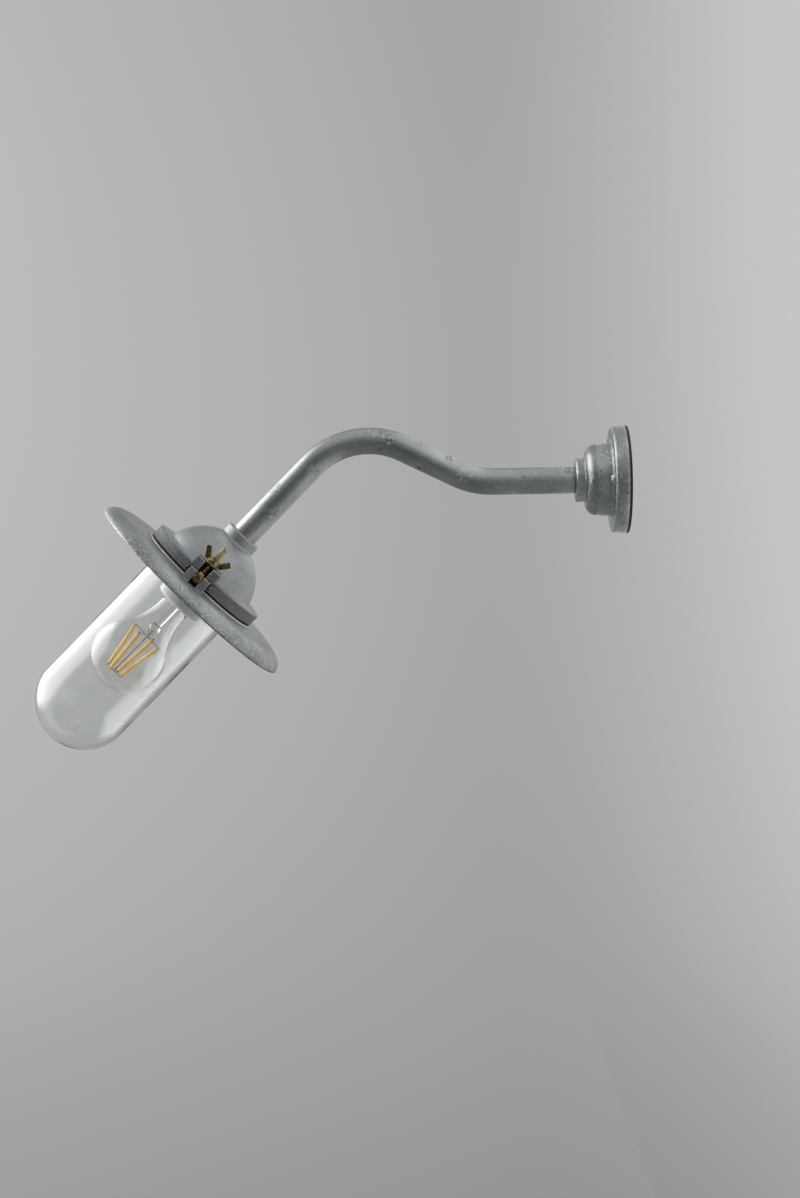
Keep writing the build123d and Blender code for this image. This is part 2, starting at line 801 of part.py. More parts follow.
# Flex from the terminal block through the tube to the lampholder
flex_turn = hollow_end - terminal_depth / 2
with BuildPart() as lamp_flex:
    with BuildLine(Plane.XZ):
        FilletPolyline(
            (-flex_turn, -terminal_drop),
            (-flex_turn, 0),
            first_corner,
            second_corner,
            point_on_drop(drop_run + bracket_bottom),
            radius=[flex_bend_radius, tube_bend_radius, tube_bend_radius],
        )
    with BuildSketch(Plane(origin=(-flex_turn, 0, -terminal_drop), z_dir=(0, 0, 1))):
        Circle(flex_diameter / 2)
    sweep()
save(lamp_flex, "lamp_flex")
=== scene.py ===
import json
import math

import bmesh
import bpy
from mathutils import Matrix, Vector


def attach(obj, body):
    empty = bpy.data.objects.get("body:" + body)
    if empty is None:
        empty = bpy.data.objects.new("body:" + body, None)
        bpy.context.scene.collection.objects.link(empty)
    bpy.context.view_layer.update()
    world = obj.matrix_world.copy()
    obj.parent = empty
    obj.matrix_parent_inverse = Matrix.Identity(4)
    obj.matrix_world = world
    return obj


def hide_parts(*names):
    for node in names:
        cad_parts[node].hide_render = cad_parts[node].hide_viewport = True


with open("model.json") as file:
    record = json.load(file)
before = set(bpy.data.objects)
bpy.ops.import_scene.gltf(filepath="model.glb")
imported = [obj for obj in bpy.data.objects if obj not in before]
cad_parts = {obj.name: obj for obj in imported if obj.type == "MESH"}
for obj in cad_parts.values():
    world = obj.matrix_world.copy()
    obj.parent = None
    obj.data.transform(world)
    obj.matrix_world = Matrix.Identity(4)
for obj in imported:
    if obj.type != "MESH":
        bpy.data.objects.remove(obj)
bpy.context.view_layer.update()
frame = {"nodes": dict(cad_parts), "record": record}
scene = bpy.context.scene
scene.view_settings.view_transform = "Standard"
mm = 0.001
mergeGap = 0.005  # in millimetres: points closer than this are one
print("frame loaded")

# The mounting face is X = 0 and the arm stands out towards -X. The head hangs on its lamp's axis
joints = {joint["name"]: joint for joint in frame["record"]["behaviour"]["joints"]}
headDown = Vector(joints["lamp_turn"]["axis"])
frontAndRear = (("front", -1), ("rear", 1))  # each with its way along Y


# Local Z points up the head's axis, X to the front and Y across the clevis pins
def spaceAt(place, front=-1):
    outward = Vector((0, front, 0))
    up = -headDown
    turn = Matrix((outward, up.cross(outward), up)).transposed().to_4x4()
    return Matrix.Translation(Vector(place)) @ turn


headSpace = spaceAt(joints["lamp_turn"]["pos_m"])  # its zero is the lower face of the dome's flange


def linear(hexColour):
    parts = [int(hexColour[i:i + 2], 16) / 255 for i in (1, 3, 5)]
    return [p / 12.92 if p <= 0.04045 else ((p + 0.055) / 1.055) ** 2.4 for p in parts] + [1.0]


def setSockets(tree, node, values):
    for socket, value in values.items():
        if isinstance(value, bpy.types.NodeSocket):
            tree.links.new(value, node.inputs[socket])
        else:
            node.inputs[socket].default_value = value


# A Mix of colours takes its share on socket 0 and its colours on 6 and 7, and gives its result on output 2
def addNode(tree, kind, links=None, **settings):
    node = tree.nodes.new(kind)
    for key, value in settings.items():
        setattr(node, key, value)
    setSockets(tree, node, links or {})
    return node


def startMaterial(name):
    material = bpy.data.materials.new(name)
    material.use_nodes = True
    tree = material.node_tree
    shader = tree.nodes["Principled BSDF"]
    place = addNode(tree, "ShaderNodeTexCoord").outputs["Object"]
    return material, tree, shader, place


# Hot-dip galvanised iron: a zinc skin, so cloudy satin greys with small crystals in it, a grit of pits
# from the sand of the mould, a few black specks and edges rubbed bright, the brightening also a painted
# highlight, but not in inner corners or close to the mounting face. Handling scuffs it in patches, and the
# dome from its flange's side outwards is drawn rougher, with painted shade darkening it.
# Crystals and pits on tube, visor and plate are drawn coarser than real so that they show
def galvanisedIron(name, look):
    material, tree, shader, place = startMaterial(name)
    cloud = addNode(tree, "ShaderNodeTexNoise", {
        "Vector": place, "Scale": 1 / (look["cloudSize"] * mm), "Detail": 5.0, "Roughness": 0.55})
    grit = addNode(tree, "ShaderNodeTexNoise", {
        "Vector": place, "Scale": 1 / (look["gritSize"] * mm), "Detail": 3.0, "Roughness": 0.65})
    ripple = addNode(tree, "ShaderNodeTexNoise", {
        "Vector": place, "Scale": 1 / (look["rippleSize"] * mm), "Detail": 3.0})
    crystals = addNode(tree, "ShaderNodeTexVoronoi", {
        "Vector": place, "Scale": 1 / (look["crystalSize"] * mm), "Randomness": 1.0})
    crystalTone = addNode(tree, "ShaderNodeSeparateColor", {0: crystals.outputs["Color"]})
    specks = addNode(tree, "ShaderNodeTexVoronoi", {
        "Vector": place, "Scale": 1 / (look["speckSpacing"] * mm)})
    cloudy = addNode(tree, "ShaderNodeMapRange", {
        "Value": cloud.outputs[0], "From Min": 0.34, "From Max": 0.66}, interpolation_type="SMOOTHSTEP")
    fromHead = addNode(tree, "ShaderNodeVectorMath", {
        0: place, 1: headSpace.translation}, operation="SUBTRACT")
    aside = addNode(tree, "ShaderNodeVectorMath", {
        0: fromHead.outputs[0], 1: headDown}, operation="CROSS_PRODUCT")
    axisGap = addNode(tree, "ShaderNodeVectorMath", {0: aside.outputs[0]}, operation="LENGTH")
    scuffs = addNode(tree, "ShaderNodeTexNoise", {
        "Vector": place, "Scale": 1 / (look["scuffSize"] * mm), "Detail": 4.0, "Roughness": 0.6})
    patches = addNode(tree, "ShaderNodeMapRange", {
        "Value": scuffs.outputs[0], "From Min": 0.52, "From Max": 0.62, "To Min": look["evenShare"],
        "To Max": 1.0})
    rimWear = addNode(tree, "ShaderNodeMapRange", {
        "Value": axisGap.outputs["Value"], "From Min": look["rimFrom"] * mm,
        "From Max": (look["rimFrom"] + look["rimFade"]) * mm, "To Max": look["rimShare"]})
    scuffed = addNode(tree, "ShaderNodeMath", {
        0: patches.outputs[0], 1: rimWear.outputs[0]}, operation="MAXIMUM")
    crystalFlecks = addNode(tree, "ShaderNodeMapRange", {
        "Value": crystalTone.outputs[0], "From Min": 0.6, "From Max": 0.95,
        "To Max": look["crystalAmount"]})
    flecks = addNode(tree, "ShaderNodeMath", {
        0: crystalFlecks.outputs[0], 1: scuffed.outputs[0]}, operation="MULTIPLY")
    gritGrains = addNode(tree, "ShaderNodeMapRange", {
        "Value": grit.outputs[0], "From Min": 0.47, "From Max": 0.36, "To Max": look["gritAmount"]})
    grains = addNode(tree, "ShaderNodeMath", {
        0: gritGrains.outputs[0], 1: scuffed.outputs[0]}, operation="MULTIPLY")
    dots = addNode(tree, "ShaderNodeMapRange", {
        "Value": specks.outputs["Distance"], "From Min": look["speckSize"] / look["speckSpacing"],
        "From Max": 0.6 * look["speckSize"] / look["speckSpacing"], "To Max": look["speckAmount"]})
    # The rounded normals find the edges that are painted pale: real wear and also a painted highlight
    rounded = addNode(tree, "ShaderNodeBevel", {"Radius": look["wearAndHighlightEdge"] * mm}, samples=6)
    surface = addNode(tree, "ShaderNodeNewGeometry")
    flatness = addNode(tree, "ShaderNodeVectorMath", {
        0: rounded.outputs[0], 1: surface.outputs["Normal"]}, operation="DOT_PRODUCT")
    edges = addNode(tree, "ShaderNodeMapRange", {
        "Value": flatness.outputs["Value"], "From Min": 0.99, "From Max": 0.9,
        "To Max": look["wearAndHighlightAmount"]})
    exposed = addNode(tree, "ShaderNodeAmbientOcclusion", {"Distance": look["cornerReach"] * mm}, samples=6)
    outer = addNode(tree, "ShaderNodeMapRange", {
        "Value": exposed.outputs["AO"], "From Min": 0.54, "From Max": 0.76})
    patchyWearAndHighlight = addNode(tree, "ShaderNodeMapRange", {
        "Value": scuffs.outputs[0], "From Min": 0.36, "From Max": 0.56, "To Min": look["leastWearAndHighlight"],
        "To Max": 1.0})
    fromMount = addNode(tree, "ShaderNodeSeparateXYZ", {0: place})
    reachable = addNode(tree, "ShaderNodeMapRange", {
        "Value": fromMount.outputs["X"], "From Min": -look["mountGap"][0] * mm,
        "From Max": -look["mountGap"][1] * mm})
    outerEdges = addNode(tree, "ShaderNodeMath", {
        0: edges.outputs[0], 1: outer.outputs[0]}, operation="MULTIPLY")
    freeEdges = addNode(tree, "ShaderNodeMath", {
        0: outerEdges.outputs[0], 1: reachable.outputs[0]}, operation="MULTIPLY")
    wearAndHighlight = addNode(tree, "ShaderNodeMath", {
        0: freeEdges.outputs[0], 1: patchyWearAndHighlight.outputs[0]}, operation="MULTIPLY")
    # From the flange's side outwards the dome is drawn rougher and painted darker: painted shade
    flangeShadeAndDull = addNode(tree, "ShaderNodeMapRange", {
        "Value": axisGap.outputs["Value"], "From Min": (look["flangeFrom"] - look["flangeFade"]) * mm,
        "From Max": look["flangeFrom"] * mm, "To Max": look["flangeAmount"]})
    zinc = addNode(tree, "ShaderNodeMix", {
        0: cloudy.outputs[0], 6: linear(look["dark"]), 7: linear(look["light"])}, data_type="RGBA")
    skin = addNode(tree, "ShaderNodeMix", {
        0: flangeShadeAndDull.outputs[0], 6: zinc.outputs[2], 7: linear(look["flangeShade"])}, data_type="RGBA")
    flecked = addNode(tree, "ShaderNodeMix", {
        0: flecks.outputs[0], 6: skin.outputs[2], 7: linear(look["crystal"])}, data_type="RGBA")
    gritty = addNode(tree, "ShaderNodeMix", {
        0: grains.outputs[0], 6: flecked.outputs[2], 7: linear(look["grain"])}, data_type="RGBA")
    dotted = addNode(tree, "ShaderNodeMix", {
        0: dots.outputs[0], 6: gritty.outputs[2], 7: linear(look["speck"])}, data_type="RGBA")
    # Edges painted pale: rubbed zinc, and a painted highlight where light would catch them
    rubbedAndHighlit = addNode(tree, "ShaderNodeMix", {
        0: wearAndHighlight.outputs[0], 6: dotted.outputs[2], 7: linear(look["wearAndHighlight"])}, data_type="RGBA")
    satin = addNode(tree, "ShaderNodeMapRange", {
        "Value": crystalTone.outputs[1], "To Min": look["roughness"][0], "To Max": look["roughness"][1]})
    flangeSatin = addNode(tree, "ShaderNodeMath", {
        0: flangeShadeAndDull.outputs[0], 1: look["flangeRoughness"], 2: satin.outputs[0]}, operation="MULTIPLY_ADD")
    roughness = addNode(tree, "ShaderNodeMath", {
        0: patches.outputs[0], 1: look["scuffRoughness"], 2: flangeSatin.outputs[0]},
        operation="MULTIPLY_ADD")
    gritBump = addNode(tree, "ShaderNodeBump", {
        "Height": grit.outputs[0], "Strength": look["gritBump"], "Distance": look["gritDepth"] * mm,
        "Normal": rounded.outputs[0]})
    skinBump = addNode(tree, "ShaderNodeBump", {
        "Height": ripple.outputs[0], "Strength": look["rippleBump"], "Distance": look["rippleDepth"] * mm,
        "Normal": gritBump.outputs[0]})
    setSockets(tree, shader, {
        "Base Color": rubbedAndHighlit.outputs[2], "Roughness": roughness.outputs[0], "Normal": skinBump.outputs[0],
        "Metallic": look["metallic"]})
    return material


# Sizes, depths and reaches are in millimetres, amounts and shares run from 0 to 1
domeLook = {
    "dark": "#989a9c", "light": "#a7a9ab", "crystal": "#b9bcbe", "grain": "#6d7072", "speck": "#2b2d2e",
    "wearAndHighlight": "#e6e9ea", "cloudSize": 26.0, "gritSize": 0.8, "gritDepth": 0.25, "rippleSize": 9.0,
    "rippleDepth": 0.6, "crystalSize": 1.3, "scuffSize": 24.0, "speckSpacing": 8.0, "speckSize": 0.5,
    "crystalAmount": 0.4, "gritAmount": 0.8, "speckAmount": 0.9, "evenShare": 0.5, "wearAndHighlightEdge": 1.1,
    "wearAndHighlightAmount": 1.0, "leastWearAndHighlight": 0.35, "cornerReach": 3.0, "mountGap": (5.0, 8.0),
    "roughness": (0.38, 0.5), "scuffRoughness": 0.0, "gritBump": 0.25, "rippleBump": 0.1, "metallic": 0.75,
    "flangeShade": "#727476", "flangeFrom": 52.6, "flangeFade": 0.6, "flangeAmount": 0.8, "flangeRoughness": 0.25,
    "rimFrom": 86.0, "rimFade": 8.0, "rimShare": 0.0}
visorLook = dict(
    domeLook, flangeAmount=0.0, dark="#8e9092", crystal="#dadddd", grain="#4a4d4f", cloudSize=30.0,
    crystalSize=1.1, gritSize=1.5, crystalAmount=0.5, gritAmount=0.78, scuffSize=16.0, evenShare=0.25,
    roughness=(0.36, 0.52), gritBump=0.4, rimShare=0.9)
# The plate's wide near-white edge band is mostly a painted highlight on its flange's front rim
plateLook = dict(
    visorLook, rimShare=0.0, dark="#85888a", light="#adb0b2", wearAndHighlight="#fbfcfc", crystalSize=2.2, gritSize=0.8,
    crystalAmount=0.6, gritAmount=0.75, scuffSize=11.0, evenShare=0.3, speckSpacing=6.0, speckSize=0.7,
    wearAndHighlightEdge=3.4, leastWearAndHighlight=0.75, roughness=(0.27, 0.44), rippleBump=0.25, metallic=0.95)
tubeLook = dict(
    domeLook, flangeAmount=0.0, dark="#95989a", light="#aaacae", crystal="#d3d6d7", grain="#2c2e2f",
    cloudSize=40.0, crystalSize=1.9, gritSize=1.9, crystalAmount=0.6, gritAmount=0.85, scuffSize=19.0,
    evenShare=0.03, scuffRoughness=0.22, speckSpacing=14.0, wearAndHighlightEdge=0.5, wearAndHighlightAmount=0.6,
    roughness=(0.26, 0.34), gritBump=0.06, rippleBump=0.06, metallic=0.9)
# A pale copy of the dome's zinc for the visor's seat bead: a painted highlight
litBeadLook = dict(
    domeLook, flangeAmount=0.0, dark="#cfd2d3", light="#e4e6e7", crystal="#eff1f2", roughness=(0.25, 0.4))
domeIron = galvanisedIron("galvanisedDomeIron", domeLook)
visorIron = galvanisedIron("galvanisedVisorIron", visorLook)
plateIron = galvanisedIron("galvanisedPlateIron", plateLook)
litBeadIron = galvanisedIron("paintedHighlightGalvanisedIron", litBeadLook)
steelTube = galvanisedIron("galvanisedSteelTube", tubeLook)


# Turned brass gone dull outdoors: olive brown with a satin shine, painted shade darkening its corners, and
# pale yellow where its edges are rubbed, which is also a painted highlight
def tarnishedBrass():
    look = {
        "metal": "#a9915f", "tarnish": "#4d4029", "rubbedAndHighlit": "#f6e8ba", "stainSize": 3.0, "grainSize": 0.5,
        "cornerShade": "#2b2718", "cornerShadeReach": 6.0, "wearAndHighlightEdge": 0.6, "roughness": (0.1, 0.26)}
    material, tree, shader, place = startMaterial("agedBrass")
    stain = addNode(tree, "ShaderNodeTexNoise", {
        "Vector": place, "Scale": 1 / (look["stainSize"] * mm), "Detail": 5.0, "Roughness": 0.65})
    grain = addNode(tree, "ShaderNodeTexNoise", {
        "Vector": place, "Scale": 1 / (look["grainSize"] * mm), "Detail": 2.0})
    stained = addNode(tree, "ShaderNodeMapRange", {
        "Value": stain.outputs[0], "From Min": 0.38, "From Max": 0.62})
    colour = addNode(tree, "ShaderNodeMix", {
        0: stained.outputs[0], 6: linear(look["metal"]), 7: linear(look["tarnish"])}, data_type="RGBA")
    rounded = addNode(tree, "ShaderNodeBevel", {"Radius": look["wearAndHighlightEdge"] * mm}, samples=6)
    surface = addNode(tree, "ShaderNodeNewGeometry")
    flatness = addNode(tree, "ShaderNodeVectorMath", {
        0: rounded.outputs[0], 1: surface.outputs["Normal"]}, operation="DOT_PRODUCT")
    edges = addNode(tree, "ShaderNodeMapRange", {
        "Value": flatness.outputs["Value"], "From Min": 0.99, "From Max": 0.93})
    exposed = addNode(tree, "ShaderNodeAmbientOcclusion", {"Distance": look["cornerShadeReach"] * mm}, samples=8)
    outer = addNode(tree, "ShaderNodeMapRange", {
        "Value": exposed.outputs["AO"], "From Min": 0.55, "From Max": 0.9, "To Max": 0.85})
    wearAndHighlight = addNode(tree, "ShaderNodeMath", {0: edges.outputs[0], 1: outer.outputs[0]}, operation="MULTIPLY")
    # Painted shade: darker where the surroundings close in
    shadedCorners = addNode(tree, "ShaderNodeMapRange", {
        "Value": exposed.outputs["AO"], "From Min": 0.85, "From Max": 0.45, "To Max": 0.92})
    cornerShaded = addNode(tree, "ShaderNodeMix", {
        0: shadedCorners.outputs[0], 6: colour.outputs[2], 7: linear(look["cornerShade"])}, data_type="RGBA")
    # Edges painted pale: real rubbing and a painted highlight
    rubbedAndHighlit = addNode(tree, "ShaderNodeMix", {
        0: wearAndHighlight.outputs[0], 6: cornerShaded.outputs[2], 7: linear(look["rubbedAndHighlit"])}, data_type="RGBA")
    roughness = addNode(tree, "ShaderNodeMapRange", {
        "Value": stain.outputs[0], "To Min": look["roughness"][0], "To Max": look["roughness"][1]})
    bump = addNode(tree, "ShaderNodeBump", {
        "Height": grain.outputs[0], "Strength": 0.15, "Distance": 0.1 * mm, "Normal": rounded.outputs[0]})
    setSockets(tree, shader, {
        "Base Color": rubbedAndHighlit.outputs[2], "Roughness": roughness.outputs[0], "Normal": bump.outputs[0],
        "Metallic": 1.0})
    return material


agedBrass = tarnishedBrass()


# Moulded rubber: near black, matt, dusty in patches
def mouldedRubber():
    look = {"clean": "#0b0c0c", "dusty": "#1f2021", "dustSize": 4.0}
    material, tree, shader, place = startMaterial("mouldedRubber")
    dust = addNode(tree, "ShaderNodeTexNoise", {
        "Vector": place, "Scale": 1 / (look["dustSize"] * mm), "Detail": 6.0})
    colour = addNode(tree, "ShaderNodeMix", {
        0: dust.outputs[0], 6: linear(look["clean"]), 7: linear(look["dusty"])}, data_type="RGBA")
    bump = addNode(tree, "ShaderNodeBump", {
        "Height": dust.outputs[0], "Strength": 0.2, "Distance": 0.2 * mm})
    setSockets(tree, shader, {"Base Color": colour.outputs[2], "Roughness": 0.7, "Normal": bump.outputs[0]})
    return material


blackRubber = mouldedRubber()


# Pressed or blown soda-lime glass: clear, a little grey, its wall slightly wavy from the mould
def clearGlass(name, look):
    material, tree, shader, place = startMaterial(name)
    wave = addNode(tree, "ShaderNodeTexNoise", {
        "Vector": place, "Scale": 1 / (look["waveSize"] * mm), "Detail": 1.0})
    bump = addNode(tree, "ShaderNodeBump", {
        "Height": wave.outputs[0], "Strength": look["waviness"], "Distance": 1.0 * mm})
    setSockets(tree, shader, {
        "Base Color": linear(look["tint"]), "Roughness": 0.0, "IOR": look["ior"],
        "Transmission Weight": 1.0, "Normal": bump.outputs[0]})
    return material


pressedGlass = clearGlass("pressedClearGlass", {
    "tint": "#f9fafa", "ior": 1.5, "waveSize": 24.0, "waviness": 0.25})
lampGlass = clearGlass("blownLampGlass", {
    "tint": "#fdfdfc", "ior": 1.42, "waveSize": 18.0, "waviness": 0.05})


# Glazed porcelain: white body under a clear, smooth glaze
def glazedPorcelain():
    look = {"white": "#eeeeee", "shade": "#dfe0e2", "cloudSize": 9.0}
    material, tree, shader, place = startMaterial("glazedPorcelain")
    cloud = addNode(tree, "ShaderNodeTexNoise", {
        "Vector": place, "Scale": 1 / (look["cloudSize"] * mm), "Detail": 4.0})
    colour = addNode(tree, "ShaderNodeMix", {
        0: cloud.outputs[0], 6: linear(look["white"]), 7: linear(look["shade"])}, data_type="RGBA")
    bump = addNode(tree, "ShaderNodeBump", {
        "Height": cloud.outputs[0], "Strength": 0.05, "Distance": 0.5 * mm})
    setSockets(tree, shader, {
        "Base Color": colour.outputs[2], "Roughness": 0.18, "IOR": 1.52, "Normal": bump.outputs[0]})
    return material


porcelain = glazedPorcelain()


# Zinc-plated steel, bare aluminium or nickel wire: smooth and bright, with the fine grain of a drawn metal,
# coarser here than real so that it shows
def drawnMetal(name, look):
    material, tree, shader, place = startMaterial(name)
    grain = addNode(tree, "ShaderNodeTexNoise", {
        "Vector": place, "Scale": 1 / (look["grainSize"] * mm), "Detail": 4.0, "Roughness": 0.6})
    colour = addNode(tree, "ShaderNodeMix", {
        0: grain.outputs[0], 6: linear(look["dark"]), 7: linear(look["light"])}, data_type="RGBA")
    roughness = addNode(tree, "ShaderNodeMapRange", {
        "Value": grain.outputs[0], "To Min": look["roughness"][0], "To Max": look["roughness"][1]})
    bump = addNode(tree, "ShaderNodeBump", {
        "Height": grain.outputs[0], "Strength": 0.08, "Distance": 0.1 * mm})
    setSockets(tree, shader, {
        "Base Color": colour.outputs[2], "Roughness": roughness.outputs[0], "Normal": bump.outputs[0],
        "Metallic": 1.0})
    return material


platedSteel = drawnMetal("zincPlatedSteel", {
    "dark": "#a7a9a8", "light": "#d0d1cf", "grainSize": 0.8, "roughness": (0.22, 0.4)})
lampAluminium = drawnMetal("bareAluminium", {
    "dark": "#b9bbbd", "light": "#dcdddf", "grainSize": 0.6, "roughness": (0.2, 0.34)})
nickelWire = drawnMetal("nickelWire", {
    "dark": "#7b7974", "light": "#c4c1b9", "grainSize": 0.4, "roughness": (0.2, 0.35)})


# Silicone with amber phosphor over a strip of chips: orange, slightly waxy, paler between the chips, and
# with a faint painted glow of pale yellow
def amberPhosphor():
    look = {"amber": "#f3b23c", "pale": "#fcdc8c", "chipPitch": 1.5, "glow": 0.12}
    material, tree, shader, place = startMaterial("amberPhosphor")
    chips = addNode(tree, "ShaderNodeTexNoise", {
        "Vector": place, "Scale": 1 / (look["chipPitch"] * mm), "Detail": 2.0})
    colour = addNode(tree, "ShaderNodeMix", {
        0: chips.outputs[0], 6: linear(look["amber"]), 7: linear(look["pale"])}, data_type="RGBA")
    bump = addNode(tree, "ShaderNodeBump", {
        "Height": chips.outputs[0], "Strength": 0.2, "Distance": 0.2 * mm})
    setSockets(tree, shader, {
        "Base Color": colour.outputs[2], "Roughness": 0.28, "Normal": bump.outputs[0],
        # The emission is a painted glow: the lamp is off
        "Subsurface Weight": 0.2, "Subsurface Scale": 0.5 * mm, "Emission Color": linear(look["pale"]),
        "Emission Strength": look["glow"]})
    return material


filamentCoat = amberPhosphor()


# Silicone rubber sheath of a heat-proof flex: dull white, soiled in patches
def flexSheath():
    look = {"clean": "#d9d8d2", "soiled": "#b9b7ae", "patchSize": 6.0}
    material, tree, shader, place = startMaterial("flexSheath")
    patch = addNode(tree, "ShaderNodeTexNoise", {
        "Vector": place, "Scale": 1 / (look["patchSize"] * mm), "Detail": 6.0})
    colour = addNode(tree, "ShaderNodeMix", {
        0: patch.outputs[0], 6: linear(look["clean"]), 7: linear(look["soiled"])}, data_type="RGBA")
    bump = addNode(tree, "ShaderNodeBump", {
        "Height": patch.outputs[0], "Strength": 0.1, "Distance": 0.2 * mm})
    setSockets(tree, shader, {"Base Color": colour.outputs[2], "Roughness": 0.6, "Normal": bump.outputs[0]})
    return material


sheath = flexSheath()
print("materials made")

# Finishes of the pieces that keep their own shape
finishes = {
    domeIron: ["dome"],
    visorIron: ["visor"],
    plateIron: ["wall_plate"],
    steelTube: ["swan_neck_tube"],
    agedBrass: [
        "front_clevis_pin", "rear_clevis_pin", "front_washer", "rear_washer", "screw_shell",
        "centre_contact", "terminal_screws", "earth_screw"],
    blackRubber: ["wall_gasket", "dome_gasket", "glass_seat_gasket"],
    porcelain: ["lampholder_body", "terminal_block"],
    platedSteel: ["lampholder_bracket", "bracket_screws", "holder_screws"],
    lampAluminium: ["lamp_cap", "lamp_contact"],
    sheath: ["lamp_flex"],
}
for material, names in finishes.items():
    for name in names:
        for materialSlot in frame["nodes"][name].material_slots:
            materialSlot.material = material
print("finishes given")

sharpAngle = math.radians(35)  # edges steeper than this stay sharp
arcStep = 6.0  # degrees of arc to each edge of an outline


# Every new piece is drawn in millimetres in a space of its own and then set in its place on the light
def addPiece(name, bm, space, material, body, replaced=()):
    bmesh.ops.remove_doubles(bm, verts=bm.verts[:], dist=mergeGap)
    bmesh.ops.recalc_face_normals(bm, faces=bm.faces[:])
    bmesh.ops.transform(bm, matrix=space @ Matrix.Scale(mm, 4), verts=bm.verts[:])
    mesh = bpy.data.meshes.new(name)
    bm.to_mesh(mesh)
    bm.free()
    mesh.shade_smooth()
    mesh.set_sharp_from_angle(angle=sharpAngle)
    mesh.materials.append(material)
    piece = bpy.data.objects.new(name, mesh)
    scene.collection.objects.link(piece)
    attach(piece, body)
    if replaced:
        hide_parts(*replaced)
    return piece


def vertsOf(parts):
    return [part for part in parts if isinstance(part, bmesh.types.BMVert)]


def wholeOf(bm):
    return bm.verts[:] + bm.edges[:] + bm.faces[:]


def newParts(bm, before):
    verts = [vert for vert in bm.verts if vert not in before]
    edges = [edge for edge in bm.edges if edge.verts[0] not in before]
    faces = [face for face in bm.faces if face.verts[0] not in before]
    return verts, edges, faces


# An outline is points (radius, height) and arcs (centre radius, centre height, degrees), turned about Z
def turnOutline(bm, outline, sides):
    before = set(bm.verts)
    last = None
    for step in outline:
        if len(step) == 3:
            swept = bmesh.ops.spin(
                bm, geom=[last], cent=(step[0], 0, step[1]), axis=(0, 1, 0), angle=math.radians(step[2]),
                steps=max(2, round(abs(step[2]) / arcStep)))
            last = vertsOf(swept["geom_last"])[0]
            continue
        point = bm.verts.new((step[0], 0, step[1]))
        if last:
            bm.edges.new((last, point))
        last = point
    drawn, lines = newParts(bm, before)[:2]
    bmesh.ops.spin(
        bm, geom=drawn + lines, cent=(0, 0, 0), axis=(0, 0, 1), angle=2 * math.pi, steps=sides,
        use_merge=True)
    return newParts(bm, before)[0]


# Space whose Z runs from one point towards another, for rods, wires and filaments
def runSpace(start, end):
    turn = (Vector(end) - Vector(start)).to_track_quat("Z", "Y").to_matrix().to_4x4()
    return Matrix.Translation(start) @ turn


def addRod(bm, start, end, radius, sides=10):
    length = (Vector(end) - Vector(start)).length
    middle = Matrix.Translation((0, 0, length / 2))
    bmesh.ops.create_cone(
        bm, cap_ends=True, segments=sides, radius1=radius, radius2=radius, depth=length,
        matrix=runSpace(start, end) @ middle)


# A thread is a zigzag turned once round while it climbs by its pitch, then cut square at both ends
def cutThread(bm, thread):
    before = set(bm.verts)
    pitch = thread["pitch"]
    height = thread["low"] - pitch
    root, crest = thread["root"], thread["crest"]
    tooth = ((crest, 0.4), (crest, 0.55), (root, 0.95), (root, 1.0))  # radius, and rise in pitches
    last = bm.verts.new((root, 0, height))
    while height < thread["high"] + pitch:
        for radius, rise in tooth:
            point = bm.verts.new((radius, 0, height + rise * pitch))
            bm.edges.new((last, point))
            last = point
        height += pitch
    drawn, lines = newParts(bm, before)[:2]
    bmesh.ops.spin(
        bm, geom=drawn + lines, cent=(0, 0, 0), axis=(0, 0, 1), dvec=(0, 0, pitch / thread["sides"]),
        angle=2 * math.pi, steps=thread["sides"])
    bmesh.ops.remove_doubles(bm, verts=newParts(bm, before)[0], dist=mergeGap)
    for level, facing in ((thread["low"], -1), (thread["high"], 1)):
        turned, edges, faces = newParts(bm, before)
        bmesh.ops.bisect_plane(
            bm, geom=turned + edges + faces, plane_co=(0, 0, level), plane_no=(0, 0, facing),
            clear_outer=True)
    rims = [edge for edge in newParts(bm, before)[1] if edge.is_boundary]
    bmesh.ops.holes_fill(bm, edges=rims, sides=0)


# Well glass: rim flange under the dome's gasket, straight wall, rounded end
wellGlass = {
    "radius": 39.6, "wall": 3.0, "rimRadius": 48.5, "rimTop": -2.0, "rimThickness": 4.0, "rimRound": 0.6,
    "wallEnd": -138.8, "knuckle": 20.0, "crownAngle": 11.5, "sides": 128}


def buildWellGlass():
    g = wellGlass
    inner = g["radius"] - g["wall"]
    knuckleAt = g["radius"] - g["knuckle"]
    crown = g["crownAngle"]
    crownAt = g["wallEnd"] + knuckleAt * math.tan(math.radians(crown))
    crownRadius = g["knuckle"] + knuckleAt / math.cos(math.radians(crown))
    rimSide = g["rimRadius"] - g["rimRound"]
    rimFoot = g["rimTop"] - g["rimThickness"]
    bm = bmesh.new()
    turnOutline(bm, [
        (0, crownAt - crownRadius + g["wall"]), (0, crownAt, crown - 90), (knuckleAt, g["wallEnd"], -crown),
        (inner, g["rimTop"] - g["rimRound"]), (inner + g["rimRound"], g["rimTop"] - g["rimRound"], 90),
        (rimSide, g["rimTop"]), (rimSide, g["rimTop"] - g["rimRound"], 90),
        (g["rimRadius"], rimFoot + g["rimRound"]), (rimSide, rimFoot + g["rimRound"], 90),
        (g["radius"], rimFoot), (g["radius"], g["wallEnd"]),
        (knuckleAt, g["wallEnd"], crown), (0, crownAt, 90 - crown)], g["sides"])
    piece = addPiece("wellGlass", bm, headSpace, pressedGlass, "fixture", ["well_glass"])
    piece.visible_shadow = False  # clear glass, here and in the lamp, lets the light through


buildWellGlass()
print("well glass pressed")

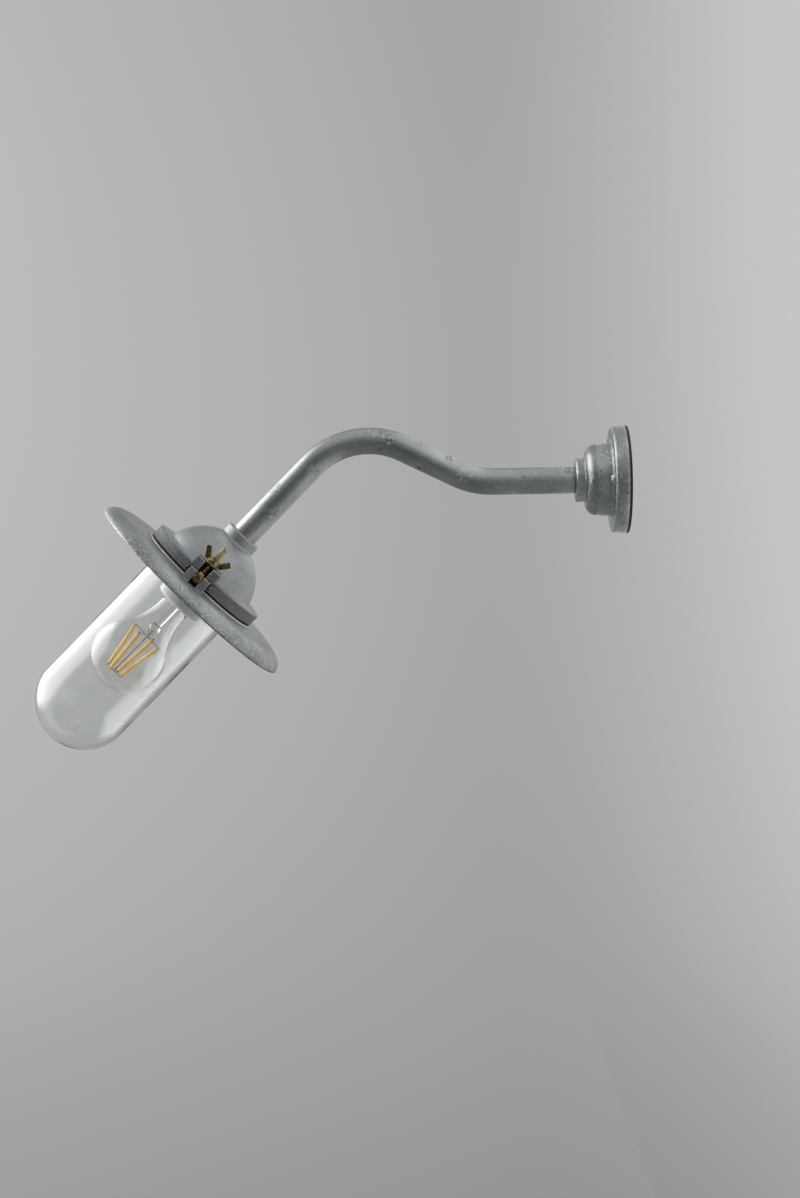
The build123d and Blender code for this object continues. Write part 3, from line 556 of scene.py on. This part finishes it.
# Bead round the visor's seat, just under the dome's gasket, in pale zinc that paints a highlight on it
seatBead = {"radius": 53.2, "height": -2.75, "round": 0.7, "sides": 128}


def buildSeatBead():
    b = seatBead
    bm = bmesh.new()
    turnOutline(bm, [(b["radius"] + b["round"], b["height"]), (b["radius"], b["height"], 360)], b["sides"])
    addPiece("visorSeatBead", bm, headSpace, litBeadIron, "fixture")


buildSeatBead()
print("seat bead laid")

# Lamp: a blown globe on a straight neck, a clear stem with a pressed end, and four coated filaments
lamp = {
    "neckRadius": 12.35, "neckTop": -21.85, "neckEnd": -33.85, "flareRadius": 55.28, "globeHeight": -85.8,
    "globeWall": 0.6, "sides": 96,
    "stemFlare": 11.4, "stemLip": 0.8, "stemRadius": 3.2, "stemRoll": 7.0, "stemEnd": -58.85,
    "stemSides": 48, "pressLength": 8.0, "pressRadius": 3.9, "pressTaper": 2.5, "pressRound": (1.5, 4.5),
    "pressTip": 1.4,
    "filamentTop": -65.2, "filamentEnd": -101.2, "topRadius": 14.3, "endRadius": 7.5, "firstTurn": 68.0,
    "count": 4, "filamentRadius": 1.6, "filamentSides": 16, "tabSize": (1.5, 0.5, 2.6),
    "wireRadius": 0.3, "wireStandOff": 0.9, "rodRadius": 0.8, "rodTail": 0.6,
    "leadSides": 8, "leadPath": ((1.4, 1.0), (2.6, -1.6), (1.0, -3.2))}  # aside, and up from the stem's end


def buildGlobe():
    flareAt = lamp["neckRadius"] + lamp["flareRadius"]
    sweep = math.degrees(math.atan2(lamp["neckEnd"] - lamp["globeHeight"], flareAt))
    bm = bmesh.new()
    turnOutline(bm, [
        (lamp["neckRadius"], lamp["neckTop"]), (lamp["neckRadius"], lamp["neckEnd"]),
        (flareAt, lamp["neckEnd"], -sweep), (0, lamp["globeHeight"], 90 + sweep)], lamp["sides"])
    piece = addPiece("lampGlobe", bm, headSpace, lampGlass, "lamp", ["lamp_envelope"])
    wall = piece.modifiers.new("globeWall", "SOLIDIFY")
    wall.thickness = lamp["globeWall"] * mm
    wall.offset = -1.0
    piece.visible_shadow = False


def buildStem():
    roll = lamp["stemRoll"]
    flareEdge = lamp["stemRadius"] + roll
    lipEnd = lamp["neckTop"] - lamp["stemLip"]
    pressTop = lamp["stemEnd"] + lamp["pressLength"]
    roundIn, roundDown = lamp["pressRound"]
    bm = bmesh.new()
    turnOutline(bm, [
        (0, lamp["neckTop"]), (lamp["stemFlare"], lamp["neckTop"]), (lamp["stemFlare"], lipEnd),
        (flareEdge, lipEnd), (flareEdge, lipEnd - roll, -90), (lamp["stemRadius"], pressTop),
        (lamp["pressRadius"], pressTop - lamp["pressTaper"]),
        (lamp["pressRadius"] - roundIn, pressTop - roundDown, 90),
        (lamp["pressTip"], lamp["stemEnd"]), (0, lamp["stemEnd"])], lamp["stemSides"])
    piece = addPiece("lampStem", bm, headSpace, lampGlass, "lamp", ["lamp_stem"])
    piece.visible_shadow = False


def filamentPoints():
    points = []
    for index in range(lamp["count"]):
        turn = math.radians(lamp["firstTurn"] + 360 / lamp["count"] * index)
        way = Vector((math.cos(turn), math.sin(turn), 0))
        top = way * lamp["topRadius"] + Vector((0, 0, lamp["filamentTop"]))
        end = way * lamp["endRadius"] + Vector((0, 0, lamp["filamentEnd"]))
        points.append((top, end))
    return points


def buildFilaments():
    radius = lamp["filamentRadius"]
    tip = radius * 0.5  # radius of their rounded ends
    bm = bmesh.new()
    for top, end in filamentPoints():
        length = (end - top).length
        verts = turnOutline(bm, [
            (0, 0), (tip, 0), (tip, tip, -90), (radius, length - tip), (tip, length - tip, -90),
            (0, length)], lamp["filamentSides"])
        bmesh.ops.transform(bm, matrix=runSpace(top, end), verts=verts)
    addPiece("filamentSticks", bm, headSpace, filamentCoat, "lamp", ["lamp_filaments"])


# Rod down the middle, links to the filaments' tabs at both ends and two bent leads out of the pressed stem
def buildWires():
    bm = bmesh.new()
    hubTop = Vector((0, 0, lamp["filamentTop"] + lamp["wireStandOff"]))
    hubEnd = Vector((0, 0, lamp["filamentEnd"] - lamp["wireStandOff"]))
    addRod(bm, (0, 0, lamp["stemEnd"]), hubEnd - Vector((0, 0, lamp["rodTail"])), lamp["rodRadius"])
    for top, end in filamentPoints():
        along = (top - end).normalized()
        for tip, hub, way in ((top, hubTop, along), (end, hubEnd, -along)):
            addRod(bm, hub, tip + way * lamp["wireStandOff"], lamp["wireRadius"])
            made = bmesh.ops.create_cube(bm, size=1.0)
            bmesh.ops.scale(bm, vec=lamp["tabSize"], verts=made["verts"])
            bmesh.ops.transform(bm, matrix=runSpace(tip, tip + way), verts=made["verts"])
    for side in (-1, 1):
        lead = [Vector((0, side * aside, lamp["stemEnd"] + rise)) for aside, rise in lamp["leadPath"]]
        lead.append(hubTop)
        for start, end in zip(lead, lead[1:]):
            addRod(bm, start, end, lamp["wireRadius"], lamp["leadSides"])
    addPiece("filamentWires", bm, headSpace, nickelWire, "lamp", ["lamp_wires"])


buildGlobe()
buildStem()
buildFilaments()
buildWires()
print("lamp built")

# Swing bolts: an eye on the clevis pin, a tapered neck and a threaded shank
swingBolt = {
    "eyeRadius": 7.0, "eyeWidth": 7.0, "eyeRound": 2.4, "eyeSides": 48, "bore": 2.3, "neckStart": 3.2,
    "neckRadius": 3.05, "neckEnd": 10.0, "shankRadius": 2.5, "shankSides": 32, "runOut": 0.6, "reach": 31.0,
    "tipChamfer": 0.7, "tipInset": 0.4}
boltThread = {"pitch": 1.1, "root": 2.08, "crest": 2.5, "low": 11.6, "high": 30.3, "sides": 28}


def buildSwingBolt(place, front):
    b = swingBolt
    half = b["eyeWidth"] / 2
    flat = half - b["eyeRound"]
    shoulder = b["eyeRadius"] - b["eyeRound"]
    root = boltThread["root"]
    bm = bmesh.new()
    eye = turnOutline(bm, [
        (b["bore"], -half), (shoulder, -half), (shoulder, -flat, -90), (b["eyeRadius"], flat),
        (shoulder, flat, -90), (b["bore"], half), (b["bore"], -half)], b["eyeSides"])
    bmesh.ops.rotate(bm, cent=(0, 0, 0), matrix=Matrix.Rotation(-math.pi / 2, 3, "X"), verts=eye)
    turnOutline(bm, [
        (0, b["neckStart"]), (b["neckRadius"], b["neckStart"]), (b["shankRadius"], b["neckEnd"]),
        (b["shankRadius"], boltThread["low"] - b["runOut"]), (root, boltThread["low"]),
        (root, b["reach"] - b["tipChamfer"]), (root - b["tipInset"], b["reach"]), (0, b["reach"])],
        b["shankSides"])
    cutThread(bm, boltThread)
    space = spaceAt(joints[place + "_bolt_swing"]["pos_m"], front)
    addPiece(
        place + "SwingBolt", bm, space, agedBrass, place + "_bolt", [place + "_swing_bolt"])


# Wing nuts: a low round hub and two flat wings, standing on the washer
wingNut = {
    "base": 1.3, "baseRadius": 5.5, "topRadius": 4.5, "height": 4.2, "bore": 2.6, "edge": 0.5, "sides": 40,
    "wingAngle": 52.0, "wingLength": 14.0, "wingWidth": 5.0, "wingThickness": 2.6, "tipOffset": 11.4,
    "tipHeight": 9.2, "wingLift": 0.4, "wingEdge": 0.45}


def buildWingNut(place, front):
    n = wingNut
    top = n["base"] + n["height"]
    bm = bmesh.new()
    lean = math.radians(n["wingAngle"])
    made = bmesh.ops.create_cube(bm, size=1.0)
    bmesh.ops.scale(bm, vec=(n["wingThickness"], n["wingLength"], n["wingWidth"]), verts=made["verts"])
    bmesh.ops.bevel(
        bm, geom=bm.edges[:], offset=n["wingEdge"], affect="EDGES", segments=2, profile=0.5, material=-1)
    bmesh.ops.rotate(bm, cent=(0, 0, 0), matrix=Matrix.Rotation(lean, 3, "X"), verts=bm.verts[:])
    middle = (0, n["tipOffset"] - math.cos(lean) * n["wingLength"] / 2,
              n["base"] + n["tipHeight"] - math.sin(lean) * n["wingLength"] / 2)
    bmesh.ops.translate(bm, vec=middle, verts=bm.verts[:])
    cuts = (((0, 0, n["base"] + n["wingLift"]), (0, 0, -1)), ((0, n["bore"], 0), (0, -1, 0)))
    for level, facing in cuts:
        bmesh.ops.bisect_plane(bm, geom=wholeOf(bm), plane_co=level, plane_no=facing, clear_outer=True)
        bmesh.ops.holes_fill(bm, edges=[edge for edge in bm.edges if edge.is_boundary], sides=0)
    bmesh.ops.mirror(bm, geom=wholeOf(bm), axis="Y", merge_dist=0.0)
    turnOutline(bm, [
        (n["bore"], n["base"]), (n["baseRadius"] - n["edge"], n["base"]),
        (n["baseRadius"] - n["edge"], n["base"] + n["edge"], -90), (n["topRadius"], top - n["edge"]),
        (n["topRadius"] - n["edge"], top - n["edge"], -90), (n["bore"], top), (n["bore"], n["base"])],
        n["sides"])
    space = spaceAt(joints[place + "_nut_turn"]["pos_m"], front)
    addPiece(place + "WingNut", bm, space, agedBrass, place + "_nut", [place + "_wing_nut"])


for place, front in frontAndRear:
    buildSwingBolt(place, front)
    buildWingNut(place, front)
print("swing bolts and wing nuts built")

# Two slotted round-head screws hold the wall plate
wallScrew = {
    "faceX": -12.8, "offset": 35.5, "radius": 4.5, "lip": 0.8, "crown": 3.2, "sides": 40, "slotWidth": 1.1,
    "slotDepth": 1.3, "slotTurns": {"front": 20.0, "rear": 65.0}}


def buildWallScrew(place, front):
    s = wallScrew
    ball = (s["radius"] ** 2 + s["crown"] ** 2) / (2 * s["crown"])
    crownTop = s["lip"] + s["crown"]
    sweep = math.degrees(math.asin(s["radius"] / ball))
    halfSlot = s["slotWidth"] / 2
    bm = bmesh.new()
    turnOutline(bm, [
        (0, crownTop), (0, crownTop - ball, sweep), (s["radius"], 0), (0, 0)], s["sides"])
    bmesh.ops.remove_doubles(bm, verts=bm.verts[:], dist=mergeGap)
    bmesh.ops.recalc_face_normals(bm, faces=bm.faces[:])
    for side in (-1, 1):
        bmesh.ops.bisect_plane(
            bm, geom=wholeOf(bm), plane_co=(side * halfSlot, 0, 0), plane_no=(1, 0, 0))
    slotFaces = [  # the crown's faces between both cuts
        face for face in bm.faces
        if abs(face.calc_center_median().x) < 0.9 * halfSlot and face.normal.z > 0.3]
    sunk = bmesh.ops.extrude_face_region(bm, geom=slotFaces)
    bmesh.ops.translate(bm, vec=(0, 0, -s["slotDepth"]), verts=vertsOf(sunk["geom"]))
    bmesh.ops.delete(bm, geom=slotFaces, context="FACES_ONLY")
    turn = Matrix.Rotation(math.radians(s["slotTurns"][place]), 4, "Z")
    out = Matrix.Rotation(-math.pi / 2, 4, "Y")
    spot = Matrix.Translation((s["faceX"] * mm, front * s["offset"] * mm, 0))
    addPiece(place + "WallScrew", bm, spot @ out @ turn, platedSteel, "fixture")


for place, front in frontAndRear:
    buildWallScrew(place, front)
print("wall screws set")

# Studio: one pale sheet as floor and backdrop, a window of soft light on the left and a faint fill of light
# on the right
studio = {
    "floorHeight": -0.62, "sweepStart": 0.9, "sweepRadius": 1.5, "sweepSteps": 24, "sheetTop": 3.2,
    "nearEdge": -4.0, "halfWidth": 5.0, "sheetColour": "#828483", "paintedPoolColour": "#eceeed",
    "dimColour": "#767877", "paintedPoolPlace": (-2.2, 2.25, 0.4), "paintedPoolReach": 4.0, "rightColour": "#dcdedd",
    "sheetRight": (-0.1, 0.65), "backdropShare": 0.75, "floorGloss": 0.4, "darkSide": "#545655",
    "paleSide": "#9c9e9d", "above": "#d3d5d4", "roomRight": (-0.35, 0.6), "roomUp": (0.1, 0.9)}
window = {
    "place": (-1.45, 0.35, 0.42), "aim": (-0.27, 0.0, -0.03), "size": (2.7, 2.2), "brightness": 2.9,
    "fade": (0.22, 0.5)}
rightFill = {
    "place": (0.03, 0.25, 0.12), "aim": (-0.3, 0.25, 0.12), "size": (2.2, 2.2), "brightness": 0.5,
    "fade": (0.25, 0.55)}


# The camera, clear glass and mirror images see the sheet's colour, with a painted pool of light towards the
# back left and paler to the right, over its lit paper, which keeps the object's shadow
def studioPaper():
    material, tree, shader, place = startMaterial("studioPaper")
    setSockets(tree, shader, {
        "Base Color": linear(studio["sheetColour"]), "Roughness": 0.9, "Specular IOR Level": 0.1})
    rays = addNode(tree, "ShaderNodeLightPath").outputs
    facing = addNode(tree, "ShaderNodeSeparateXYZ", {
        0: addNode(tree, "ShaderNodeNewGeometry").outputs["Normal"]})
    upright = addNode(tree, "ShaderNodeMapRange", {
        "Value": facing.outputs["Z"], "To Min": 1.0, "To Max": studio["floorGloss"]})
    mirrored = addNode(tree, "ShaderNodeMath", {
        0: rays["Is Glossy Ray"], 1: upright.outputs[0]}, operation="MULTIPLY")
    direct = addNode(tree, "ShaderNodeMath", {
        0: rays["Is Camera Ray"], 1: rays["Is Transmission Ray"]}, operation="MAXIMUM")
    seen = addNode(tree, "ShaderNodeMath", {
        0: direct.outputs[0], 1: mirrored.outputs[0]}, operation="MAXIMUM")
    share = addNode(tree, "ShaderNodeMath", {
        0: seen.outputs[0], 1: studio["backdropShare"]}, operation="MULTIPLY")
    # A painted pool of light on the sheet, fading with distance
    fromPaintedPool = addNode(tree, "ShaderNodeVectorMath", {
        0: place, 1: studio["paintedPoolPlace"]}, operation="DISTANCE")
    dimming = addNode(tree, "ShaderNodeMapRange", {
        "Value": fromPaintedPool.outputs["Value"], "From Max": studio["paintedPoolReach"]})
    tone = addNode(tree, "ShaderNodeMix", {
        0: dimming.outputs[0], 6: linear(studio["paintedPoolColour"]), 7: linear(studio["dimColour"])},
        data_type="RGBA")
    spot = addNode(tree, "ShaderNodeSeparateXYZ", {0: place})
    rightward = addNode(tree, "ShaderNodeMapRange", {
        "Value": spot.outputs["X"], "From Min": studio["sheetRight"][0],
        "From Max": studio["sheetRight"][1]}, interpolation_type="SMOOTHSTEP")
    sheetTone = addNode(tree, "ShaderNodeMix", {
        0: rightward.outputs[0], 6: tone.outputs[2], 7: linear(studio["rightColour"])}, data_type="RGBA")
    glow = addNode(tree, "ShaderNodeEmission", {"Color": sheetTone.outputs[2]})
    paper = addNode(tree, "ShaderNodeMixShader", {
        0: share.outputs[0], 1: shader.outputs[0], 2: glow.outputs[0]})
    tree.links.new(paper.outputs[0], tree.nodes["Material Output"].inputs["Surface"])
    return material


def buildSheet():
    bm = bmesh.new()
    left = -studio["halfWidth"]
    near = bm.verts.new((left, studio["nearEdge"], studio["floorHeight"]))
    turn = bm.verts.new((left, studio["sweepStart"], studio["floorHeight"]))
    bm.edges.new((near, turn))
    middle = (left, studio["sweepStart"], studio["floorHeight"] + studio["sweepRadius"])
    swept = bmesh.ops.spin(
        bm, geom=[turn], cent=middle, axis=(1, 0, 0), angle=math.pi / 2, steps=studio["sweepSteps"])
    foot = vertsOf(swept["geom_last"])[0]
    top = bm.verts.new((foot.co.x, foot.co.y, studio["sheetTop"]))
    bm.edges.new((foot, top))
    side = bmesh.ops.extrude_edge_only(bm, edges=bm.edges[:])
    bmesh.ops.translate(bm, vec=(2 * studio["halfWidth"], 0, 0), verts=vertsOf(side["geom"]))
    bmesh.ops.recalc_face_normals(bm, faces=bm.faces[:])
    mesh = bpy.data.meshes.new("studioSheet")
    bm.to_mesh(mesh)
    bm.free()
    mesh.shade_smooth()
    mesh.materials.append(studioPaper())
    sheet = bpy.data.objects.new("studioSheet", mesh)
    scene.collection.objects.link(sheet)


# Both lights fade out towards their edges, as a window behind a blind does
def addLight(name, look):
    light = bpy.data.lights.new(name, "AREA")
    light.shape = "RECTANGLE"
    light.size, light.size_y = look["size"]
    light.energy = look["brightness"] * math.pi * light.size * light.size_y
    light.use_nodes = True
    tree = light.node_tree
    spread = addNode(tree, "ShaderNodeNewGeometry").outputs["Parametric"]
    fromMiddle = addNode(tree, "ShaderNodeVectorMath", {
        0: spread, 1: (0.5, 0.5, 0.0)}, operation="DISTANCE")
    fade = addNode(tree, "ShaderNodeMapRange", {
        "Value": fromMiddle.outputs["Value"], "From Min": look["fade"][0], "From Max": look["fade"][1],
        "To Min": 1.0, "To Max": 0.0}, interpolation_type="SMOOTHSTEP")
    tree.links.new(fade.outputs[0], tree.nodes["Emission"].inputs["Strength"])
    lightObject = bpy.data.objects.new(name, light)
    towards = Vector(look["aim"]) - Vector(look["place"])
    turn = towards.to_track_quat("-Z", "Y").to_matrix().to_4x4()
    lightObject.matrix_world = Matrix.Translation(look["place"]) @ turn
    lightObject.visible_camera = False
    scene.collection.objects.link(lightObject)


# The room: dark on the left, paler on the right and above, and through clear glass as pale as on the right
def lightRoom():
    world = bpy.data.worlds.new("studioRoom")
    world.use_nodes = True
    tree = world.node_tree
    looking = addNode(tree, "ShaderNodeTexCoord").outputs["Generated"]
    way = addNode(tree, "ShaderNodeSeparateXYZ", {0: looking})
    rightward = addNode(tree, "ShaderNodeMapRange", {
        "Value": way.outputs["X"], "From Min": studio["roomRight"][0], "From Max": studio["roomRight"][1]},
        interpolation_type="SMOOTHSTEP")
    upward = addNode(tree, "ShaderNodeMapRange", {
        "Value": way.outputs["Z"], "From Min": studio["roomUp"][0], "From Max": studio["roomUp"][1]},
        interpolation_type="SMOOTHSTEP")
    sides = addNode(tree, "ShaderNodeMix", {
        0: rightward.outputs[0], 6: linear(studio["darkSide"]), 7: linear(studio["paleSide"])},
        data_type="RGBA")
    room = addNode(tree, "ShaderNodeMix", {
        0: upward.outputs[0], 6: sides.outputs[2], 7: linear(studio["above"])}, data_type="RGBA")
    rays = addNode(tree, "ShaderNodeLightPath").outputs
    direct = addNode(tree, "ShaderNodeMath", {
        0: rays["Is Camera Ray"], 1: rays["Is Transmission Ray"]}, operation="MAXIMUM")
    seen = addNode(tree, "ShaderNodeMix", {
        0: direct.outputs[0], 6: room.outputs[2], 7: linear(studio["paleSide"])}, data_type="RGBA")
    tree.links.new(seen.outputs[2], tree.nodes["Background"].inputs["Color"])
    scene.world = world


buildSheet()
addLight("windowLight", window)
addLight("rightFillLight", rightFill)
lightRoom()
print("studio lit")

# Camera square to the arm, level with the head, rolled a little as in the photograph
cameraView = {"place": (-0.182, -1.654, -0.018), "lens": 62.1, "roll": -1.0, "shiftUp": -0.0779}
camera = bpy.data.cameras.new("photoCamera")
camera.sensor_fit = "AUTO"
camera.sensor_width = 36.0
camera.lens = cameraView["lens"]
camera.shift_y = cameraView["shiftUp"]
camera.clip_start = 0.05
camera.clip_end = 50.0
cameraObject = bpy.data.objects.new("photoCamera", camera)
looking = Matrix.Rotation(math.pi / 2, 4, "X") @ Matrix.Rotation(math.radians(cameraView["roll"]), 4, "Z")
cameraObject.matrix_world = Matrix.Translation(Vector(cameraView["place"])) @ looking
scene.collection.objects.link(cameraObject)
scene.camera = cameraObject
print("camera set")
